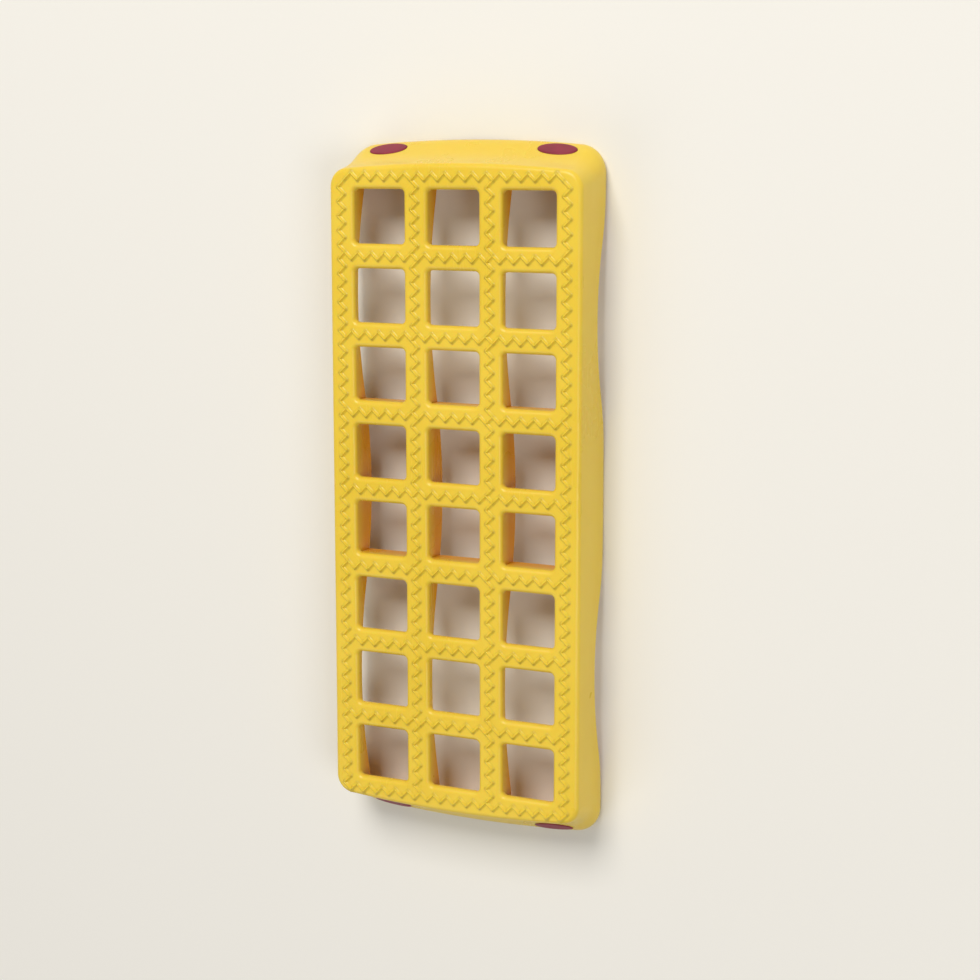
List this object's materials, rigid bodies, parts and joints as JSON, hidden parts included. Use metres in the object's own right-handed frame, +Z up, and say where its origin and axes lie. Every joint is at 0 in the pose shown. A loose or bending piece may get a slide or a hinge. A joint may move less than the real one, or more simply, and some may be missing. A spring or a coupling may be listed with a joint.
{
  "type": "ravioli mould",
  "caption": "Long moulded plastic tray of open square cells with raised zigzag cutting ridges, arched skirts and oval grip inserts in its flared ends.",
  "frame": {"origin": "middle of the underside, at the height of the table that the tray's feet rest on", "axes": "+Z up out of the cells' side, +Y along the tray's length, +X across it"},
  "size_m": [0.12, 0.3022, 0.0271],
  "materials": {
    "tray": "satin moulded polypropylene",
    "insert": "smooth moulded elastomer"
  },
  "bodies": {
    "root": {"mould_body": "tray", "foot_insert_near_left": "insert", "foot_insert_near_right": "insert", "foot_insert_far_left": "insert", "foot_insert_far_right": "insert"}
  },
  "joints": []
}
